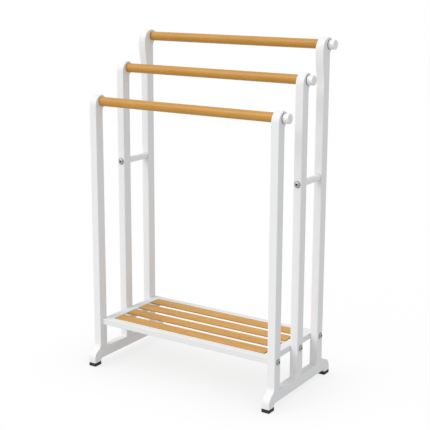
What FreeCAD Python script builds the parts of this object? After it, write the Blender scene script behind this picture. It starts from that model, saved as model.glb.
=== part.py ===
"""Freestanding towel stand: two white side frames, three wooden rails in steps, a slatted shelf.

Millimetres. +X runs to the right, +Y to the back and +Z up; the origin is on the floor under
the middle of the whole stand. Each side frame is a foot rail with a front, a middle and a back
post dowelled onto it, and each rail ends in a hand knob on the right-hand side.
"""
import FreeCAD, Part
import math
import os

Vector = FreeCAD.Vector

# ---------------------------------------------------------------- driving sizes
# Side frames
inner_width = 476.0            # between the inner faces of the two side frames
board_thickness = 20.0         # of a side frame, along X
edge_radius = 1.5              # rounding along every outer edge of a side frame
post_depth = 25.0              # of a post, along Y
front_to_middle = 104.0        # from the front post's front face to the middle post's
middle_to_back = 98.0          # from the middle post's front face to the back post's

# Heads of the posts
head_radius = 16.0             # round end of a post, about the rail's axis
brow_drop = 7.6                # from the rail's axis down to where the head leaves the post's front face
back_brow_drop = 11.7          # the same on the back posts
head_fillet = 12.0             # under the back of a head
back_bulge = 9.0               # how far a back head swells forward of its post
back_bulge_length = 86.0       # height of the long S-curve under that swelling

# Foot rail and feet
pad_height = 9.0
pad_edge_radius = 1.0
foot_clearance = 6.5           # from the top of a pad up to the foot rail's underside
foot_rail_height = 24.5
foot_length = 23.0             # of a pad and the foot on it, along Y
arch_fillet = 6.0              # where a foot meets the foot rail's underside
toe_reach = 22.5               # the front foot stands this far in front of its post
toe_crown = 18.0               # height at which the toe's front stops being upright
toe_radius = 22.0
instep_radius = 16.0
heel_reach = 40.0              # the back foot ends this far behind its post
heel_radius = 24.0
heel_fillet = 10.0

# Rails and their knobs
rail_diameter = 22.0
rail_setback = 21.5            # of a rail's axis, behind its post's front face
front_rail_height = 654.0
middle_rail_height = 726.0
back_rail_height = 798.0
rail_socket_depth = 8.0        # blind socket in the inner face of a head
socket_clearance = 0.15        # radial, rail in its socket
stud_diameter = 8.0            # hanger stud that carries a knob
stud_in_rail = 30.0
stud_stand_out = 12.5          # from the outer face of the right-hand head
stud_hole_clearance = 0.25     # radial, stud through the head
washer_diameter = 23.6
washer_thickness = 1.0
knob_diameter = 22.0
knob_length = 14.0
knob_edge_radius = 0.8
knob_end_wall = 1.5
thread_clearance = 0.05        # radial, knob or washer on its stud
rail_screw_diameter = 5.0
rail_screw_in_rail = 32.0
rail_screw_head_diameter = 10.0
rail_screw_head_height = 3.0
cover_cap_diameter = 13.0
cover_cap_thickness = 2.0

# Spacer tube between the middle and the back post of a side frame
tube_height = 496.0
tube_diameter = 16.0
tube_bore_clearance = 0.5      # radial, long bolt through the tube
tube_socket_depth = 2.0        # shallow socket in the back post's front face
tube_socket_clearance = 0.4    # radial

# Bolts with a domed head and a hexagon socket, and the inserts that they screw into
bolt_diameter = 6.0
bolt_hole_clearance = 0.3      # radial
bolt_in_insert = 11.0
spacer_head_diameter = 16.0
shelf_head_diameter = 15.0
bolt_head_height = 4.6
bolt_rim_height = 0.9
hexagon_across_flats = 5.0
hexagon_depth = 3.2
insert_diameter = 8.5
insert_length = 13.0

# Shelf
shelf_top = 117.0
shelf_bar_height = 14.0
shelf_bar_width = 19.0         # front and rear bar
shelf_end_width = 22.0         # end bars
shelf_setback = 7.0            # of the shelf's front, behind the front posts' front faces
shelf_edge_radius = 1.0
shelf_bolt_setback = 14.0      # of a shelf bolt, behind its post's front face
slat_count = 4
slat_width = 33.5
slat_thickness = 3.5
slat_proud = 0.8               # of the shelf frame's top
slat_end_gap = 2.0             # between a slat's end and the end bar
slat_edge_gap = 0.5            # between an outer slat and the bar beside it
slat_edge_radius = 1.0
ledge_width = 14.0             # ledges under the slats' ends
frame_dowel_diameter = 5.0
frame_dowel_length = 16.0
frame_dowel_spacing = 9.0
slat_screw_diameter = 3.0
slat_screw_head_diameter = 6.0
slat_screw_head_height = 2.0
slat_screw_in_slat = 2.5
ledge_screw_in_bar = 7.0

# Dowels between the posts and the foot rail, and screws through the pads
post_dowel_diameter = 6.0
post_dowel_length = 28.0
post_dowel_spacing = 11.0
pad_screw_diameter = 3.5
pad_screw_in_foot = 14.0
pad_screw_head_diameter = 7.0
pad_screw_head_height = 2.5
pad_screw_recess = 2.0         # of the screw's head, above the floor

# ---------------------------------------------------------------- places from those sizes
x_centre = -(washer_thickness + knob_length) / 2
left_inner = x_centre - inner_width / 2
left_outer = left_inner - board_thickness
right_inner = x_centre + inner_width / 2
right_outer = right_inner + board_thickness

overall_depth = toe_reach + front_to_middle + middle_to_back + post_depth + heel_reach
front_post_y = toe_reach - overall_depth / 2
middle_post_y = front_post_y + front_to_middle
back_post_y = middle_post_y + middle_to_back
back_post_rear = back_post_y + post_depth
toe_y = front_post_y - toe_reach
heel_y = back_post_rear + heel_reach

underside = pad_height + foot_clearance
foot_rail_top = underside + foot_rail_height
shelf_front = front_post_y + shelf_setback
shelf_rear = back_post_rear
shelf_inner_left = left_inner + shelf_end_width
shelf_inner_right = right_inner - shelf_end_width
opening_front = shelf_front + shelf_bar_width
opening_rear = shelf_rear - shelf_bar_width
shelf_underside = shelf_top - shelf_bar_height
shelf_bolt_height = shelf_top - shelf_bar_height / 2
slat_top = shelf_top + slat_proud
slat_underside = slat_top - slat_thickness

# Each post: its front face's Y, its rail's height, its brow's drop and its swelling
POSTS = {
    "front": (front_post_y, front_rail_height, brow_drop, 0.0),
    "middle": (middle_post_y, middle_rail_height, brow_drop, 0.0),
    "back": (back_post_y, back_rail_height, back_brow_drop, back_bulge),
}
SIDES = {"left": left_outer, "right": right_inner}


# ---------------------------------------------------------------- small helpers
def block(x0, x1, y0, y1, z0, z1):
    """A box between two corners."""
    return Part.makeBox(x1 - x0, y1 - y0, z1 - z0, Vector(x0, y0, z0))


def rod(start, end, diameter):
    """A round bar from one point to another."""
    axis = end - start
    return Part.makeCylinder(diameter / 2, axis.Length, start, axis)


def rail_axis(name):
    """Y and Z of a rail's axis."""
    post_y, height = POSTS[name][:2]
    return post_y + rail_setback, height


def arc(centre_y, centre_z, radius, from_degrees, to_degrees):
    """An arc in the side view; angles run from +Y towards +Z."""
    points = []
    for degrees in (from_degrees, (from_degrees + to_degrees) / 2, to_degrees):
        turn = math.radians(degrees)
        points.append(Vector(0, centre_y + radius * math.cos(turn), centre_z + radius * math.sin(turn)))
    return Part.Arc(*points).toShape()


def side_view(parts):
    """A closed outline from arcs and corner points (y, z), given in order round the shape."""
    edges = []
    last = None
    for part in list(parts) + [parts[0]]:
        start = Vector(0, *part) if isinstance(part, tuple) else part.firstVertex(True).Point
        if last is not None and (start - last).Length > 1e-6:
            edges.append(Part.LineSegment(last, start).toShape())
        if isinstance(part, tuple):
            last = start
        elif len(edges) == 0 or not edges[0].isSame(part):
            edges.append(part)
            last = part.lastVertex(True).Point
    return Part.Face(Part.Wire(Part.__sortEdges__(edges)))


def rounded(solid, radius, edges):
    """The solid with those edges rounded."""
    return solid.makeFillet(radius, edges)


def save(name, *solids):
    """Writes one node, one solid or a group of like solids."""
    shape = solids[0] if len(solids) == 1 else Part.makeCompound(list(solids))
    shape.exportStep("parts/" + name + ".step")


# ---------------------------------------------------------------- side frames
def post_outline(name):
    """A post in side view, from the foot rail's top up round its head and down its back."""
    front, axis_z, drop, bulge = POSTS[name]
    rear = front + post_depth
    axis_y = front + rail_setback
    # The brow is the arc that leaves the front face upright and meets the head without a corner
    depth = rail_setback + bulge
    brow_radius = (depth ** 2 + drop ** 2 - head_radius ** 2) / (2 * (depth - head_radius))
    brow_y = front - bulge + brow_radius
    brow_z = axis_z - drop
    brow_end = math.degrees(math.atan2(drop, axis_y - brow_y))
    fillet_y = rear + head_fillet
    fillet_z = axis_z - math.sqrt((head_radius + head_fillet) ** 2 - (fillet_y - axis_y) ** 2)
    head_end = math.degrees(math.atan2(fillet_z - axis_z, fillet_y - axis_y))

    parts = [(front, foot_rail_top)]
    if bulge > 0:
        swell = (back_bulge_length ** 2 + bulge ** 2) / (4 * bulge)
        turn = math.degrees(math.asin(back_bulge_length / 2 / swell))
        parts.append(arc(front - swell, brow_z - back_bulge_length, swell, 0, turn))
        parts.append(arc(front - bulge + swell, brow_z, swell, 180 + turn, 180))
    parts.append(arc(brow_y, brow_z, brow_radius, 180, brow_end))
    parts.append(arc(axis_y, axis_z, head_radius, brow_end, head_end))
    parts.append(arc(fillet_y, fillet_z, head_fillet, head_end + 180, 180))
    parts.append((rear, foot_rail_top))
    return side_view(parts)


def foot_rail_outline():
    """The foot rail in side view: S-curved toe, flat top, rounded heel, and an arch below."""
    toe_rear = toe_y + foot_length
    heel_front = heel_y - foot_length
    toe_centre_y = toe_y + toe_radius
    instep_y = front_post_y - instep_radius
    instep_z = toe_crown + math.sqrt((toe_radius + instep_radius) ** 2 - (toe_centre_y - instep_y) ** 2)
    lean = math.degrees(math.atan2(instep_z - toe_crown, instep_y - toe_centre_y))
    inside_post = front_post_y + post_depth / 2
    return side_view([
        (toe_y, pad_height),
        arc(toe_centre_y, toe_crown, toe_radius, 180, lean),
        arc(instep_y, instep_z, instep_radius, lean - 180, 0),
        (inside_post, instep_z),
        (inside_post, foot_rail_top),
        arc(heel_y - heel_radius, foot_rail_top - heel_radius, heel_radius, 90, 0),
        (heel_y, pad_height),
        (heel_front, pad_height),
        arc(heel_front - arch_fillet, underside - arch_fillet, arch_fillet, 0, 90),
        arc(toe_rear + arch_fillet, underside - arch_fillet, arch_fillet, 90, 180),
        (toe_rear, pad_height),
    ])


def heel_web_outline():
    """The small web that rises from the foot rail behind the back post and rounds the corner there."""
    centre_y = back_post_rear + heel_fillet
    centre_z = foot_rail_top + heel_fillet
    return side_view([(back_post_rear, foot_rail_top), arc(centre_y, centre_z, heel_fillet, 270, 180)])


def side_frame():
    """One whole side frame, rounded along its outer edges, from x = 0; divided into boards later."""
    outlines = [foot_rail_outline(), heel_web_outline()] + [post_outline(name) for name in POSTS]
    boards = [outline.extrude(Vector(board_thickness, 0, 0)) for outline in outlines]
    solid = boards[0].fuse(boards[1:]).removeSplitter()
    outer_edges = []
    for edge in solid.Edges:
        box = edge.BoundBox
        lies_in_a_face = box.XLength < 1e-6
        is_over_a_pad = box.ZMax < pad_height + 1e-6
        if lies_in_a_face and not is_over_a_pad:
            outer_edges.append(edge)
    return rounded(solid, edge_radius, outer_edges)


def post_dowel_places(name):
    """Y of the two dowels under a post."""
    middle = POSTS[name][0] + post_depth / 2
    return (middle - post_dowel_spacing / 2, middle + post_dowel_spacing / 2)


def post_dowels(side):
    """The six dowels of one side frame."""
    x = SIDES[side] + board_thickness / 2
    half = post_dowel_length / 2
    dowels = []
    for name in POSTS:
        for y in post_dowel_places(name):
            start = Vector(x, y, foot_rail_top - half)
            dowels.append(rod(start, Vector(x, y, foot_rail_top + half), post_dowel_diameter))
    return dowels


# ---------------------------------------------------------------- bolts, screws and inserts
def turned(profile, seat, direction):
    """A solid of revolution; profile is a list of edges, X being the radius and Z the axis."""
    solid = Part.Face(Part.Wire(profile)).revolve(Vector(0, 0, 0), Vector(0, 0, 1), 360)
    solid.Placement = FreeCAD.Placement(seat, FreeCAD.Rotation(Vector(0, 0, 1), direction))
    return solid


def dome_profile(head_diameter):
    """Half of a domed head in the X-Z plane: upright rim, then one arc to the crown."""
    radius = head_diameter / 2
    rise = bolt_head_height - bolt_rim_height
    dome_radius = (radius ** 2 + rise ** 2) / (2 * rise)
    centre = bolt_head_height - dome_radius
    half_turn = math.asin(radius / dome_radius) / 2
    rim = Vector(radius, 0, bolt_rim_height)
    crown = Vector(0, 0, bolt_head_height)
    between = Vector(dome_radius * math.sin(half_turn), 0, centre + dome_radius * math.cos(half_turn))
    return [
        Part.LineSegment(Vector(0, 0, 0), Vector(radius, 0, 0)).toShape(),
        Part.LineSegment(Vector(radius, 0, 0), rim).toShape(),
        Part.Arc(rim, between, crown).toShape(),
        Part.LineSegment(crown, Vector(0, 0, 0)).toShape(),
    ]


def dome_bolt(seat, direction, head_diameter, shank_length):
    """A bolt whose domed head sits on the surface at seat; direction points into the work."""
    out = direction * -1
    head = turned(dome_profile(head_diameter), seat, out)
    corner = hexagon_across_flats / math.sqrt(3)
    points = []
    for index in range(7):
        spoke = FreeCAD.Rotation(direction, 60.0 * index).multVec(Vector(0, 0, corner))
        points.append(seat + out * bolt_head_height + spoke)
    socket = Part.Face(Part.makePolygon(points)).extrude(direction * hexagon_depth)
    shank = Part.makeCylinder(bolt_diameter / 2, shank_length, seat, direction)
    return head.cut(socket).fuse(shank).removeSplitter()


def insert_hole(mouth, direction):
    """The hole that an insert nut fills."""
    return rod(mouth, mouth + direction * insert_length, insert_diameter)


def insert(mouth, direction):
    """A threaded insert nut whose mouth is flush with the wood."""
    return insert_hole(mouth, direction).cut(rod(mouth, mouth + direction * insert_length, bolt_diameter))


def flat_screw(seat, direction, head_diameter, head_height, diameter, length):
    """A countersunk screw; seat is the middle of its flat head."""
    head = Part.makeCone(head_diameter / 2, diameter / 2, head_height, seat, direction)
    shank = Part.makeCylinder(diameter / 2, length, seat, direction)
    return head.fuse(shank).removeSplitter()


def shelf_bolt_seats(side):
    """Where the three shelf bolts of a side bear on the outer faces of its posts."""
    x = left_outer if side == "left" else right_outer
    return [Vector(x, POSTS[name][0] + shelf_bolt_setback, shelf_bolt_height) for name in POSTS]


def into_stand(side):
    """The direction from a side's outer face towards the middle of the stand."""
    return Vector(1, 0, 0) if side == "left" else Vector(-1, 0, 0)


def shelf_insert_mouths(side):
    """Where the shelf bolts enter the end bar, in line with their seats."""
    return [seat + into_stand(side) * board_thickness for seat in shelf_bolt_seats(side)]


def shelf_bolts(side):
    length = board_thickness + bolt_in_insert
    return [dome_bolt(seat, into_stand(side), shelf_head_diameter, length) for seat in shelf_bolt_seats(side)]


def shelf_inserts(side):
    return [insert(mouth, into_stand(side)) for mouth in shelf_insert_mouths(side)]


def tube_points(side):
    """Start and end of a spacer tube, and the seat of its bolt on the middle post's front."""
    x = SIDES[side] + board_thickness / 2
    start = Vector(x, middle_post_y + post_depth, tube_height)
    end = Vector(x, back_post_y + tube_socket_depth, tube_height)
    return start, end, Vector(x, middle_post_y, tube_height)


def spacer_tube(side):
    start, end, _ = tube_points(side)
    bore = bolt_diameter + 2 * tube_bore_clearance
    return rod(start, end, tube_diameter).cut(rod(start, end, bore))


def spacer_bolt(side):
    _, end, seat = tube_points(side)
    return dome_bolt(seat, Vector(0, 1, 0), spacer_head_diameter, end.y - seat.y + bolt_in_insert)


def spacer_insert(side):
    return insert(tube_points(side)[1], Vector(0, 1, 0))


# ---------------------------------------------------------------- rails and knobs
def rail(name):
    """A rail from socket to socket, drilled for its screw on the left and its stud on the right."""
    y, z = rail_axis(name)
    left_end = Vector(left_inner - rail_socket_depth, y, z)
    right_end = Vector(right_inner + rail_socket_depth, y, z)
    body = rod(left_end, right_end, rail_diameter)
    body = body.cut(rod(right_end - Vector(stud_in_rail, 0, 0), right_end, stud_diameter))
    return body.cut(rod(left_end, left_end + Vector(rail_screw_in_rail, 0, 0), rail_screw_diameter))


def rail_screw(name):
    """The screw through the left-hand head into the rail's end, its head under the cover cap."""
    y, z = rail_axis(name)
    seat = Vector(left_outer + cover_cap_thickness, y, z)
    length = board_thickness - cover_cap_thickness - rail_socket_depth + rail_screw_in_rail
    return flat_screw(
        seat, Vector(1, 0, 0), rail_screw_head_diameter, rail_screw_head_height, rail_screw_diameter, length)


def cover_cap(name):
    """The flush cap over a rail screw."""
    y, z = rail_axis(name)
    return rod(Vector(left_outer, y, z), Vector(left_outer + cover_cap_thickness, y, z), cover_cap_diameter)


def rail_stud(name):
    """The threaded stud in a rail's right-hand end, through the head and into the knob."""
    y, z = rail_axis(name)
    start = Vector(right_inner + rail_socket_depth - stud_in_rail, y, z)
    return rod(start, Vector(right_outer + stud_stand_out, y, z), stud_diameter)


def knob_washer(name):
    y, z = rail_axis(name)
    start = Vector(right_outer, y, z)
    end = Vector(right_outer + washer_thickness, y, z)
    return rod(start, end, washer_diameter).cut(rod(start, end, stud_diameter + 2 * thread_clearance))


def knob(name):
    """A hand knob: a plain cylinder with rounded rims and a blind threaded bore."""
    y, z = rail_axis(name)
    start = Vector(right_outer + washer_thickness, y, z)
    end = start + Vector(knob_length, 0, 0)
    body = rod(start, end, knob_diameter)
    rims = [edge for edge in body.Edges if edge.BoundBox.XLength < 1e-6]
    body = rounded(body, knob_edge_radius, rims)
    bore = rod(start, end - Vector(knob_end_wall, 0, 0), stud_diameter + 2 * thread_clearance)
    return body.cut(bore)


# ---------------------------------------------------------------- shelf
def shelf_frame():
    """The whole shelf frame, a flat ring with rounded edges, not yet divided into its bars."""
    outer = block(left_inner, right_inner, shelf_front, shelf_rear, shelf_underside, shelf_top)
    ring = outer.cut(block(
        shelf_inner_left, shelf_inner_right, opening_front, opening_rear, shelf_underside, shelf_top))
    level_edges = []
    for edge in ring.Edges:
        box = edge.BoundBox
        against_side_frame = box.XLength < 1e-6 and (
            abs(box.XMin - left_inner) < 1e-6 or abs(box.XMin - right_inner) < 1e-6)
        if box.ZLength < 1e-6 and not against_side_frame:
            level_edges.append(edge)
    return rounded(ring, shelf_edge_radius, level_edges)


def frame_dowels():
    """Two dowels at each corner of the shelf frame."""
    half = frame_dowel_length / 2
    dowels = []
    for bar_y in (shelf_front + shelf_bar_width / 2, shelf_rear - shelf_bar_width / 2):
        for x in (shelf_inner_left, shelf_inner_right):
            for offset in (-frame_dowel_spacing / 2, frame_dowel_spacing / 2):
                start = Vector(x - half, bar_y + offset, shelf_bolt_height)
                end = Vector(x + half, bar_y + offset, shelf_bolt_height)
                dowels.append(rod(start, end, frame_dowel_diameter))
    return dowels


def slat_fronts():
    """Y of the front edge of each slat, spread evenly over the shelf's opening."""
    first = opening_front + slat_edge_gap
    last = opening_rear - slat_edge_gap - slat_width
    return [first + (last - first) * index / (slat_count - 1) for index in range(slat_count)]


def slat_screw_places():
    """X and Y of the two screws of each slat, up through the ledges."""
    left = shelf_inner_left + ledge_width / 2
    right = shelf_inner_right - ledge_width / 2
    return [(x, y + slat_width / 2) for y in slat_fronts() for x in (left, right)]


def slat_screws():
    length = slat_underside - shelf_underside + slat_screw_in_slat
    screws = []
    for x, y in slat_screw_places():
        seat = Vector(x, y, shelf_underside)
        screws.append(flat_screw(
            seat, Vector(0, 0, 1), slat_screw_head_diameter, slat_screw_head_height,
            slat_screw_diameter, length))
    return screws


def slat(front, screws):
    left = shelf_inner_left + slat_end_gap
    right = shelf_inner_right - slat_end_gap
    board = block(left, right, front, front + slat_width, slat_underside, slat_top)
    upper = [edge for edge in board.Edges if edge.BoundBox.ZMax > slat_top - 1e-6]
    return rounded(board, slat_edge_radius, upper).cut(screws)


def ledge_screws(side):
    """Screws that hold a ledge to its end bar, one in each gap between two slats."""
    if side == "left":
        x = shelf_inner_left + ledge_width
    else:
        x = shelf_inner_right - ledge_width
    fronts = slat_fronts()
    screws = []
    for slat_front, next_front in zip(fronts, fronts[1:]):
        y = (slat_front + slat_width + next_front) / 2
        seat = Vector(x, y, (shelf_underside + slat_underside) / 2)
        screws.append(flat_screw(
            seat, into_stand(side) * -1, slat_screw_head_diameter, slat_screw_head_height,
            slat_screw_diameter, ledge_width + ledge_screw_in_bar))
    return screws


def ledge(side, screws):
    """The strip on an end bar's inner face that carries the slats' ends."""
    x0 = shelf_inner_left if side == "left" else shelf_inner_right - ledge_width
    board = block(x0, x0 + ledge_width, opening_front, opening_rear, shelf_underside, slat_underside)
    return board.cut(screws)


# ---------------------------------------------------------------- pads
def pad_places():
    """Name, x and y of the near corner of each pad."""
    places = []
    for side, x in SIDES.items():
        places.append((side + "_front_pad", x, toe_y))
        places.append((side + "_rear_pad", x, heel_y - foot_length))
    return places


def pad(x, y):
    """A rubber block under a foot, recessed from below for its screw."""
    body = block(x, x + board_thickness, y, y + foot_length, 0, pad_height)
    outer = [edge for edge in body.Edges if edge.BoundBox.ZMin < 1e-6]
    body = rounded(body, pad_edge_radius, outer)
    centre = Vector(x + board_thickness / 2, y + foot_length / 2, 0)
    recess = rod(centre, centre + Vector(0, 0, pad_screw_recess), pad_screw_head_diameter)
    return body.cut(recess.fuse(pad_screw(x, y)))


def pad_screw(x, y):
    seat = Vector(x + board_thickness / 2, y + foot_length / 2, pad_screw_recess)
    length = pad_height - pad_screw_recess + pad_screw_in_foot
    return flat_screw(
        seat, Vector(0, 0, 1), pad_screw_head_diameter, pad_screw_head_height, pad_screw_diameter, length)


# ---------------------------------------------------------------- holes in the side frames
def side_frame_holes(side):
    """Everything that is drilled into one side frame."""
    inward = into_stand(side)
    holes = list(post_dowels(side))
    for seat in shelf_bolt_seats(side):
        through = bolt_diameter + 2 * bolt_hole_clearance
        holes.append(rod(seat, seat + inward * board_thickness, through))

    start, end, seat = tube_points(side)
    holes.append(rod(seat, start, bolt_diameter + 2 * bolt_hole_clearance))
    socket_start = Vector(end.x, back_post_y - back_bulge, end.z)
    holes.append(rod(socket_start, end, tube_diameter + 2 * tube_socket_clearance))
    holes.append(insert_hole(end, Vector(0, 1, 0)))

    for name in POSTS:
        y, z = rail_axis(name)
        if side == "left":
            mouth = Vector(left_inner, y, z)
            holes.append(cover_cap(name))
            holes.append(rail_screw(name))
        else:
            mouth = Vector(right_inner, y, z)
            outer = Vector(right_outer, y, z)
            holes.append(rod(mouth, outer, stud_diameter + 2 * stud_hole_clearance))
        bottom = mouth - inward * rail_socket_depth
        holes.append(rod(bottom, mouth, rail_diameter + 2 * socket_clearance))

    for place, x, y in pad_places():
        if place.startswith(side):
            holes.append(pad_screw(x, y))
    return holes


# ---------------------------------------------------------------- build
def build_side_frames():
    whole = side_frame()
    high = back_rail_height + 2 * head_radius
    for side, x in SIDES.items():
        frame = whole.translated(Vector(x, 0, 0)).cut(side_frame_holes(side))
        far_side = x + board_thickness
        low = block(x, far_side, toe_y, heel_y, 0, foot_rail_top)
        web = block(x, far_side, back_post_rear, heel_y, foot_rail_top, foot_rail_top + heel_fillet)
        save(side + "_foot_rail", frame.common(low.fuse(web)).removeSplitter())
        for name in POSTS:
            front = POSTS[name][0] - toe_reach
            rear = POSTS[name][0] + post_depth + toe_reach
            zone = block(x, far_side, front, rear, foot_rail_top, high).cut(web)
            save(side + "_" + name + "_post", frame.common(zone))
        save(side + "_post_dowels", *post_dowels(side))
        save(side + "_spacer_tube", spacer_tube(side))
        save(side + "_spacer_bolt", spacer_bolt(side))
        save(side + "_shelf_bolts", *shelf_bolts(side))
        save(side + "_shelf_inserts", *shelf_inserts(side))
    save("spacer_inserts", *[spacer_insert(side) for side in SIDES])


def build_rails():
    for name in POSTS:
        save(name + "_rail", rail(name))
        save(name + "_knob", knob(name))
        save(name + "_knob_washer", knob_washer(name))
        save(name + "_cover_cap", cover_cap(name))
    save("rail_screws", *[rail_screw(name) for name in POSTS])
    save("rail_studs", *[rail_stud(name) for name in POSTS])


def build_shelf():
    ring = shelf_frame()
    zones = {
        "shelf_left_end_bar": (left_inner, shelf_inner_left, shelf_front, shelf_rear),
        "shelf_right_end_bar": (shelf_inner_right, right_inner, shelf_front, shelf_rear),
        "shelf_front_bar": (shelf_inner_left, shelf_inner_right, shelf_front, opening_front),
        "shelf_rear_bar": (shelf_inner_left, shelf_inner_right, opening_rear, shelf_rear),
    }
    dowels = frame_dowels()
    screws = slat_screws()
    ledge_fixings = ledge_screws("left") + ledge_screws("right")
    holes = dowels + ledge_fixings
    for side in SIDES:
        holes += [insert_hole(mouth, into_stand(side)) for mouth in shelf_insert_mouths(side)]
    for name, (x0, x1, y0, y1) in zones.items():
        save(name, ring.common(block(x0, x1, y0, y1, shelf_underside, shelf_top)).cut(holes))
    for index, slat_front in enumerate(slat_fronts()):
        save("shelf_slat_" + str(index + 1), slat(slat_front, screws))
    for side in SIDES:
        save("shelf_" + side + "_ledge", ledge(side, screws + ledge_fixings))
    save("shelf_frame_dowels", *dowels)
    save("slat_screws", *screws)
    save("ledge_screws", *ledge_fixings)


def build_pads():
    for name, x, y in pad_places():
        save(name, pad(x, y))
    save("pad_screws", *[pad_screw(x, y) for _, x, y in pad_places()])


os.makedirs("parts", exist_ok=True)
build_side_frames()
build_rails()
build_shelf()
build_pads()
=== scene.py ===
"""Finish of a freestanding towel stand: white lacquered side frames, bamboo rails and slats,
chrome bolts, hand knobs and rubber pads. Metres; +X right, +Y to the back, +Z up.
"""
import math

import bmesh
import bpy
from mathutils import Matrix, Vector


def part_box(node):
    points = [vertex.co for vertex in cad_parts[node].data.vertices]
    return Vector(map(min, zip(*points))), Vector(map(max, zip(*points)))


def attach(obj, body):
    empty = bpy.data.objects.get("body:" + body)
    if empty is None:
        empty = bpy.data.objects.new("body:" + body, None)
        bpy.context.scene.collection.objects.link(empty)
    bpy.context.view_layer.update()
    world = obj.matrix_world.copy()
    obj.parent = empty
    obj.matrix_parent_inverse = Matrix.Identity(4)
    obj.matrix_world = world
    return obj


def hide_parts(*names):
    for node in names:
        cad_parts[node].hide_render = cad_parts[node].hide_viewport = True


bl_info = {
    "name": "Towel stand finish",
    "version": (1, 0, 0),
    "blender": (4, 5, 0),
    "location": "3D View > Sidebar > Towel stand",
    "description": "Dresses a stepped towel stand with lacquer, bamboo, chrome and rubber",
    "category": "Object",
}

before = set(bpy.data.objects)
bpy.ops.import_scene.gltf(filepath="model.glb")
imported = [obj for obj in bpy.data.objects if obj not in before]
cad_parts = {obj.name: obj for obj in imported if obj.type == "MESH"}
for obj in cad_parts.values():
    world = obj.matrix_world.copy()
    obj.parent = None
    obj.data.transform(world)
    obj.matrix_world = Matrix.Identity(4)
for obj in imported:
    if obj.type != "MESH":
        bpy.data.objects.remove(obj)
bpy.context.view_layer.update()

MILLIMETRE = 0.001
X = Vector((1, 0, 0))
Y = Vector((0, 1, 0))
ACROSS, DEEP, UP = range(3)  # where a vector holds its part along X, Y and Z
TIERS = ("front", "middle", "back")
SIDES = ("left", "right")

SAME_PLACE = 1e-6  # vertices nearer than this are one
CORNER = math.radians(35)  # an edge that turns more stays crisp
SIXTH_TURN = math.pi / 3  # a hexagon looks the same after it

# Length along the grain and width across it of what shows in the wood
PORES = (45 * MILLIMETRE, 1.1 * MILLIMETRE)
FIBRES = (70 * MILLIMETRE, 0.9 * MILLIMETRE)
STREAKS = (160 * MILLIMETRE, 6 * MILLIMETRE)
FLECKS = (12 * MILLIMETRE, 0.5 * MILLIMETRE)
PATCHES = (50 * MILLIMETRE, 20 * MILLIMETRE)
KNUCKLE_WAVES = (1.0, 1 / 60)
BEECH_FLECKS = (8 * MILLIMETRE, 0.8 * MILLIMETRE)

TUBE_WHITE_AND_HIGHLIGHT = 1.05  # the spacer tubes' white, where the posts' is 1; partly their own paint, partly painted light for their bright tops
SHELF_SHADE_TONE = 0.95  # and that of the shelf's frame, darker as painted shade for the shade it sits in low in the stand
PAINTED_SHADE_SHARE = 0.6  # how far painted shade at an edge or socket goes to its darker colour
FULL_GLOSS = 0.25  # the gloss at which a clear coat covers the wood
# colour of the painted shadow where a tube enters its socket
SOCKET_SHADOW_GREY = (0.2, 0.2, 0.2)
RUBBER = (0.012, 0.012, 0.0125)
ZINC = (0.62, 0.63, 0.66)
BRASS = (0.72, 0.55, 0.26)
BEECH_DARK = (0.45, 0.28, 0.13)
BEECH_PALE = (0.7, 0.5, 0.3)
WHITE = (1, 1, 1)


# ---------------------------------------------------------------- settings
class LacquerSettings(bpy.types.PropertyGroup):
    colour: bpy.props.FloatVectorProperty(
        name="Colour", description="White of the lacquered wood", subtype="COLOR", size=3,
        min=0, max=1, default=(0.867, 0.871, 0.877))
    roughness: bpy.props.FloatProperty(
        name="Roughness", description="Sheen of the satin lacquer", subtype="FACTOR",
        min=0, max=1, default=0.44)
    peel_size: bpy.props.FloatProperty(
        name="Peel size", description="Width of the ripples that spraying leaves", unit="LENGTH",
        default=1.6 * MILLIMETRE)
    peel_depth: bpy.props.FloatProperty(
        name="Peel depth", description="Height of those ripples", unit="LENGTH",
        default=0.007 * MILLIMETRE)
    pore_depth: bpy.props.FloatProperty(
        name="Pore depth", description="Wood pores that still show through the lacquer",
        unit="LENGTH", default=0.005 * MILLIMETRE)


class BambooSettings(bpy.types.PropertyGroup):
    pale: bpy.props.FloatVectorProperty(
        name="Pale fibre", description="Lightest colour of the wood", subtype="COLOR", size=3,
        min=0, max=1, default=(0.71, 0.41, 0.125))
    honey: bpy.props.FloatVectorProperty(
        name="Honey", description="Main colour of the wood", subtype="COLOR", size=3,
        min=0, max=1, default=(0.6, 0.305, 0.072))
    # Also the colour that the painted shade on slat sides and at rail sockets goes to
    dark: bpy.props.FloatVectorProperty(
        name="Dark fibre", description="Darkest fibres and knuckles", subtype="COLOR", size=3,
        min=0, max=1, default=(0.36, 0.165, 0.04))
    strip_width: bpy.props.FloatProperty(
        name="Strip width", description="Width of the strips that are glued side by side",
        unit="LENGTH", default=17.5 * MILLIMETRE)
    knuckle_spacing: bpy.props.FloatProperty(
        name="Knuckle spacing", description="From one knuckle of a strip to the next",
        unit="LENGTH", default=230 * MILLIMETRE)
    roughness: bpy.props.FloatProperty(
        name="Roughness", description="Sheen of the clear satin finish", subtype="FACTOR",
        min=0, max=1, default=0.5)
    rail_stain: bpy.props.FloatVectorProperty(
        name="Rail stain", description="Tint over the wood of the rails", subtype="COLOR",
        size=3, min=0, max=1, default=(0.84, 0.77, 0.5))
    rail_gloss: bpy.props.FloatProperty(
        name="Rail gloss", description="How much smoother the rails are than the slats",
        subtype="FACTOR", min=0, max=FULL_GLOSS, default=0.1)
    rail_knuckles: bpy.props.FloatProperty(
        name="Rail knuckles", description="How strongly the knuckles of the rails show",
        subtype="FACTOR", min=0, max=1, default=0.12)
    slat_knuckles: bpy.props.FloatProperty(
        name="Slat knuckles", description="How strongly the knuckles of the slats show",
        subtype="FACTOR", min=0, max=1, default=0.3)
    rail_seed: bpy.props.IntProperty(
        name="Rail seed", description="Which tones the rails happen to have", default=3)
    slat_seed: bpy.props.IntProperty(
        name="Slat seed", description="Which tones the slats happen to have", default=11)


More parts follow.
